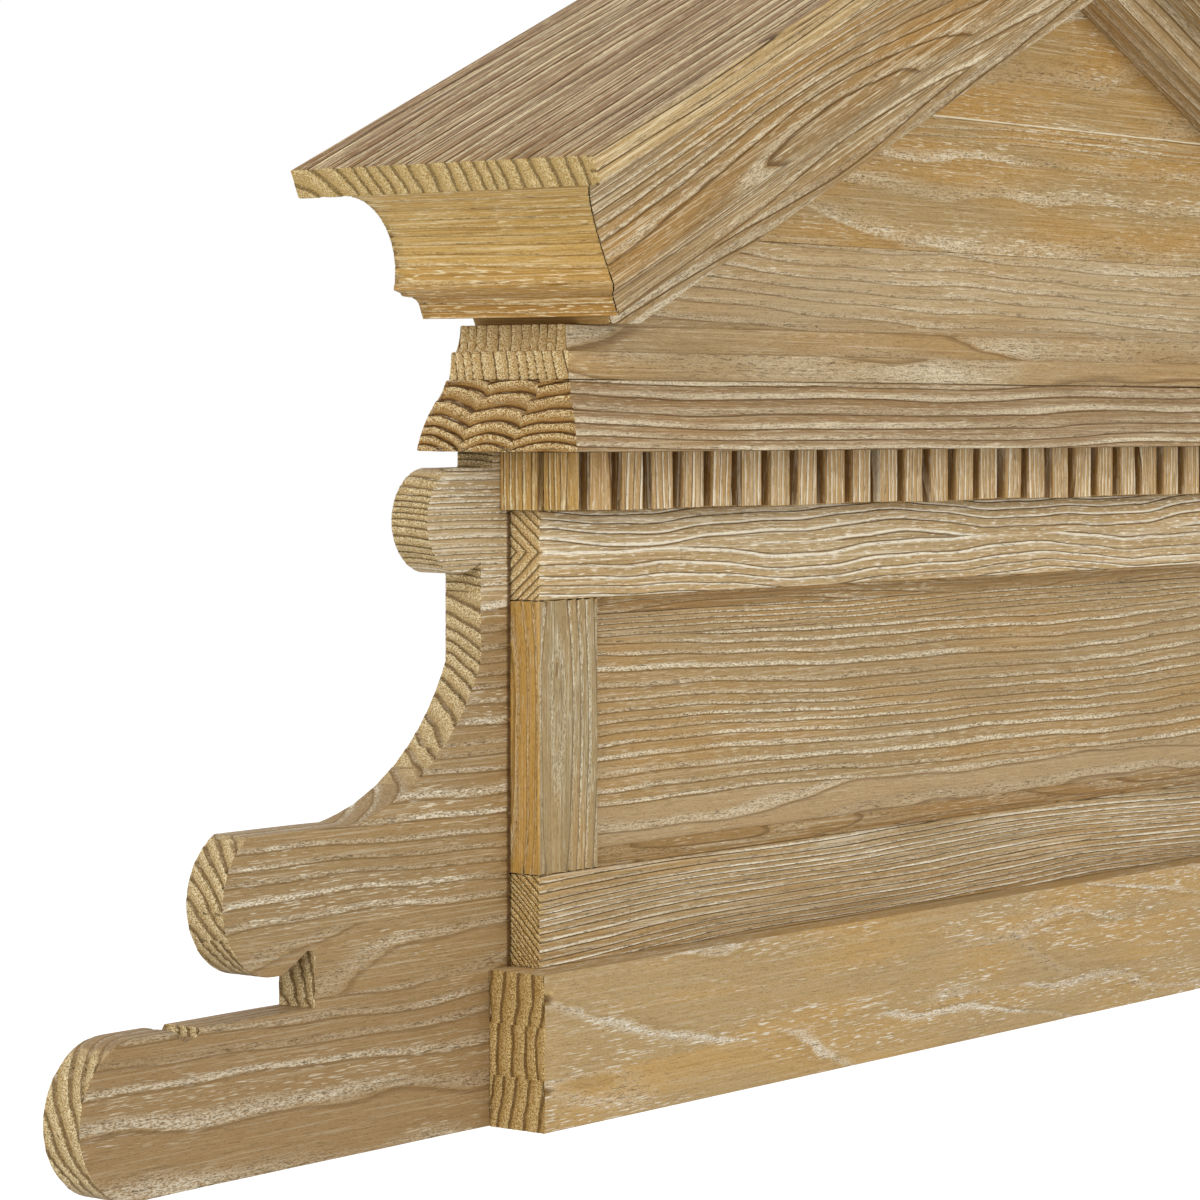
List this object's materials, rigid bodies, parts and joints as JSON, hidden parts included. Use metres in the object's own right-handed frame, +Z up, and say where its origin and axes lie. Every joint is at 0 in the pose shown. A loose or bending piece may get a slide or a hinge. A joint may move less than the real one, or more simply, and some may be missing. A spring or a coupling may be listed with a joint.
{
  "type": "door pediment",
  "caption": "Gabled door pediment in brushed, limed pine with a panelled frieze, dentil course, cove crown and scrolled side wings",
  "frame": {"origin": "On the wall plane, at the foot of the base board's back, on the centre line", "axes": "+X along the wall to the right as seen from the front, +Y into the wall (front faces -Y), +Z up"},
  "size_m": [1.742, 0.207, 0.8408],
  "materials": {
    "pine_limed": "matte",
    "pine_gold": "matte",
    "pine_weathered": "matte"
  },
  "bodies": {
    "root": {"base_board": "pine_limed", "bottom_rail": "pine_limed", "top_rail": "pine_limed", "stile_left": "pine_limed", "stile_right": "pine_limed", "panel": "pine_limed", "panel_mould_top": "pine_limed", "panel_mould_bottom": "pine_limed", "panel_mould_left": "pine_limed", "panel_mould_right": "pine_limed", "dentil_course": "pine_limed", "big_moulding": "pine_limed", "upper_moulding": "pine_limed", "tympanum_low": "pine_limed", "tympanum_mid": "pine_limed", "tympanum_top": "pine_limed", "rake_frieze_left": "pine_limed", "rake_frieze_right": "pine_limed", "return_frieze_left": "pine_gold", "return_frieze_right": "pine_gold", "raking_crown_left": "pine_limed", "raking_crown_right": "pine_limed", "return_crown_left": "pine_gold", "return_crown_right": "pine_gold", "roof_board_left": "pine_weathered", "roof_board_right": "pine_weathered", "wing_left": "pine_limed", "wing_right": "pine_limed"}
  },
  "joints": []
}
